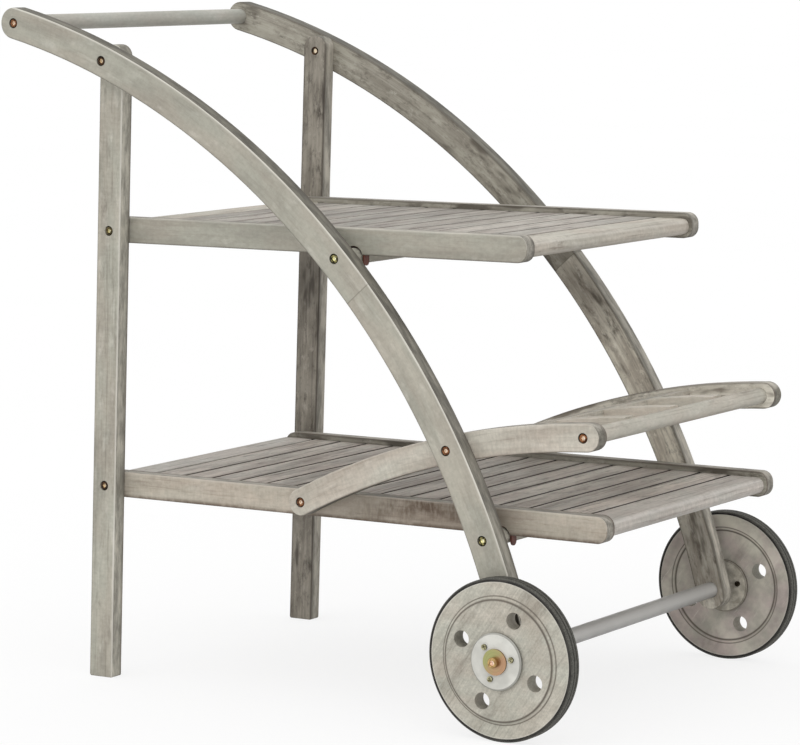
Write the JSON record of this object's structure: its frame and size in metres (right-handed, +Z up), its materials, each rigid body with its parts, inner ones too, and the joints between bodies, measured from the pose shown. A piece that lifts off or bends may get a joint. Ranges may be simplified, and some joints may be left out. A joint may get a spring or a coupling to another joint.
{
  "type": "outdoor tea trolley",
  "caption": "Outdoor tea trolley of grey-washed wood with bent side arms, slatted upper and lower shelves, a curved front rack, a round push handle and rubber-tyred wheels.",
  "frame": {"origin": "on the floor under the middle of the trolley's box", "axes": "+X from the handle to the wheels, +Y to the trolley's left, +Z up"},
  "size_m": [0.8454, 0.6242, 0.8433],
  "materials": {
    "tyre_rubber": "matt black rubber",
    "wheel_wood": "grey wash",
    "hub_paint": "pale grey paint",
    "screw_brass": "dull",
    "clip_plastic": "dark red brown",
    "tube_paint": "cool grey paint",
    "plain_steel": "zinc",
    "axle_zinc": "yellow zinc",
    "yellow_zinc": "yellow zinc",
    "dark_bronze": "dark bronze",
    "bronze": "bronze",
    "slat_wood": "grey wash",
    "arm_wood": "grey wash",
    "leg_wood": "grey wash",
    "front_shelf_wood": "grey wash",
    "rail_wood": "grey wash",
    "bar_wood": "grey wash"
  },
  "bodies": {
    "frame": {"axle_bolts": "axle_zinc", "axle_plugs": "plain_steel", "axle_spacers": "plain_steel", "axle_tube": "tube_paint", "axle_washers": "axle_zinc", "crossbar_bolts": "yellow_zinc", "front_shelf_arm_bolts": "bronze", "front_shelf_bar": "front_shelf_wood", "front_shelf_bar_bolts": "bronze", "front_shelf_left_rail": "front_shelf_wood", "front_shelf_rear_bolts": "bronze", "front_shelf_rear_rail": "front_shelf_wood", "front_shelf_rib_1": "front_shelf_wood", "front_shelf_rib_2": "front_shelf_wood", "front_shelf_rib_3": "front_shelf_wood", "front_shelf_right_rail": "front_shelf_wood", "handle_bar": "bar_wood", "handle_bolts": "bronze", "left_arm_lower": "arm_wood", "left_arm_upper": "arm_wood", "left_leg": "leg_wood", "leg_bolts": "bronze", "lower_crossbar": "bar_wood", "lower_shelf_bolts": "dark_bronze", "lower_shelf_clips": "clip_plastic", "lower_shelf_front_rail": "rail_wood", "lower_shelf_left_rail": "rail_wood", "lower_shelf_rear_rail": "rail_wood", "lower_shelf_right_rail": "rail_wood", "lower_shelf_slats": "slat_wood", "right_arm_lower": "arm_wood", "right_arm_upper": "arm_wood", "right_leg": "leg_wood", "sleeve_nuts": "plain_steel", "upper_crossbar": "bar_wood", "upper_shelf_pivot_bolts": "dark_bronze"},
    "upper_shelf": {"upper_shelf_clips": "clip_plastic", "upper_shelf_front_rail": "rail_wood", "upper_shelf_left_rail": "rail_wood", "upper_shelf_rear_rail": "rail_wood", "upper_shelf_right_rail": "rail_wood", "upper_shelf_slats": "slat_wood"},
    "right_wheel": {"right_hub_screws": "screw_brass", "right_inner_hub_plate": "wheel_wood", "right_outer_hub_plate": "hub_paint", "right_tyre": "tyre_rubber", "right_wheel_disc": "wheel_wood"},
    "left_wheel": {"left_hub_screws": "screw_brass", "left_inner_hub_plate": "wheel_wood", "left_outer_hub_plate": "hub_paint", "left_tyre": "tyre_rubber", "left_wheel_disc": "wheel_wood"}
  },
  "joints": [
    {"name": "upper_shelf_hinge", "type": "hinge", "parent": "frame", "child": "upper_shelf", "pos_m": [-0.27516, 0, 0.56713], "axis": [0, -1, 0], "range_deg": [0, 110]},
    {"name": "right_wheel_spin", "type": "hinge", "parent": "frame", "child": "right_wheel", "pos_m": [0.32437, -0.28535, 0.0966], "axis": [0, 1, 0], "continuous": true},
    {"name": "left_wheel_spin", "type": "hinge", "parent": "frame", "child": "left_wheel", "pos_m": [0.32437, 0.28535, 0.0966], "axis": [0, 1, 0], "continuous": true}
  ]
}
